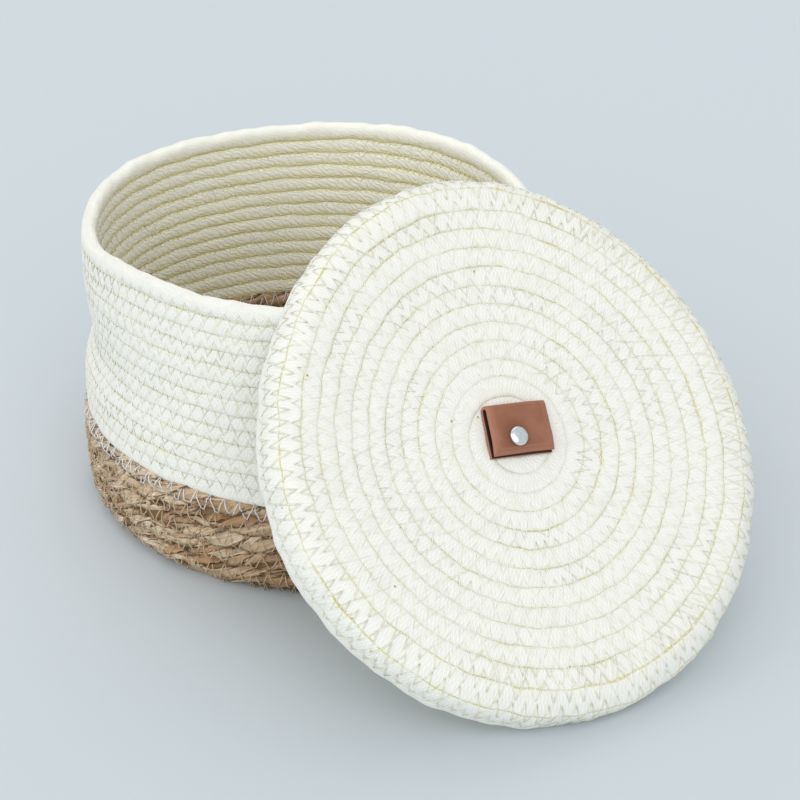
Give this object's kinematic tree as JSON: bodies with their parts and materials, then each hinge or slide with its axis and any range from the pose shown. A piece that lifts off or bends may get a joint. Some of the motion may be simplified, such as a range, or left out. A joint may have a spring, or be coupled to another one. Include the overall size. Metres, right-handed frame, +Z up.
{
  "type": "knitting basket",
  "caption": "Round coiled cord basket with a straw foot, a stitched cotton rope wall and a cap lid with a riveted leather tab, the lid leaning on the rim.",
  "frame": {"origin": "the middle of the basket's base, on the floor it stands on", "axes": "+Z up along the basket's axis, -Y towards the leaning lid, +X level"},
  "size_m": [0.2536, 0.383, 0.1887],
  "materials": {
    "straw": "dry twisted straw leaves",
    "cotton": "matt off-white cotton rope",
    "lid_cotton": "matt off-white cotton rope",
    "thread": "light grey sewing thread",
    "leather": "smooth brown, slightly waxed",
    "nickel": "polished nickel",
    "post_nickel": "plain nickel"
  },
  "bodies": {
    "basket": {"straw_coil": "straw", "cotton_coil": "cotton", "seam_thread": "thread"},
    "lid": {"lid_coil": "lid_cotton", "rivet_cap": "nickel", "rivet_post": "post_nickel"},
    "tab": {"leather_tab": "leather"}
  },
  "joints": [
    {"name": "lid_lift", "type": "slide", "parent": "basket", "child": "lid", "axis": [0, -0.7071, 0.7071], "range_m": [0, 0.2]},
    {"name": "tab_swivel", "type": "hinge", "parent": "lid", "child": "tab", "pos_m": [0, -0.17329, 0.10589], "axis": [0, -0.7071, 0.7071], "range_deg": [-180, 180]}
  ]
}
